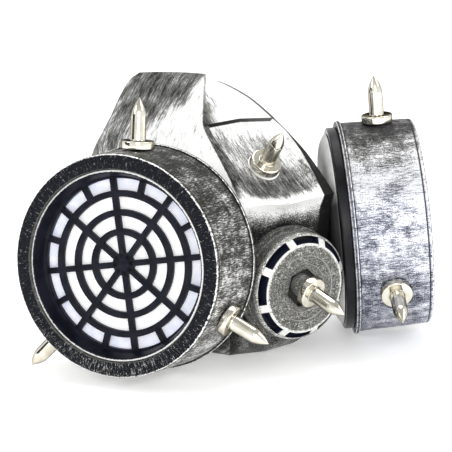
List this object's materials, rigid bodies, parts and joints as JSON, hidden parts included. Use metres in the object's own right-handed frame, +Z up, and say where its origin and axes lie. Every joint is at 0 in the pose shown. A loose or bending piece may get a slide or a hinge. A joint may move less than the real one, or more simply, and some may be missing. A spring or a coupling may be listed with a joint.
{
  "type": "costume half mask",
  "caption": "Gas mask style costume half mask: faceted silver shell, round filter cans with web grilles, slotted chin valve and polished spikes.",
  "frame": {"origin": "centre of the bounding box's underside, on the surface the mask rests on", "axes": "+X to the wearer's left, -Y out of the front of the mask, +Z up"},
  "size_m": [0.2158, 0.1352, 0.1228],
  "materials": {
    "shell_silver": "moulded plastic painted antique silver, brushed with dark strokes and rubbed bright along the folds",
    "can_silver": "antique silver paint over plastic, with a black rubbed front rim and worn pale edges",
    "grille_black": "black, slightly glossy",
    "felt_white": "white filter felt, matt",
    "base_black": "black, glossy",
    "plate_grey": "pale grey, satin",
    "neck_black": "black, matt",
    "valve_silver": "grainy antique silver paint with pale rubbed edges",
    "valve_black": "dark navy black, matt",
    "spike_nickel": "polished nickel"
  },
  "bodies": {
    "root": {"mask_shell": "shell_silver", "right_filter_housing": "can_silver", "right_filter_grille": "grille_black", "right_filter_felt": "felt_white", "right_filter_base": "base_black", "right_filter_plate": "plate_grey", "right_filter_neck": "neck_black", "right_filter_spike_1": "spike_nickel", "right_filter_spike_2": "spike_nickel", "right_filter_spike_3": "spike_nickel", "left_filter_housing": "can_silver", "left_filter_grille": "grille_black", "left_filter_felt": "felt_white", "left_filter_base": "base_black", "left_filter_plate": "plate_grey", "left_filter_neck": "neck_black", "left_filter_spike_1": "spike_nickel", "left_filter_spike_2": "spike_nickel", "left_filter_spike_3": "spike_nickel", "valve_base": "valve_silver", "valve_cap": "valve_silver", "valve_insert": "valve_black", "valve_spike": "spike_nickel", "nose_spike": "spike_nickel"}
  },
  "joints": []
}
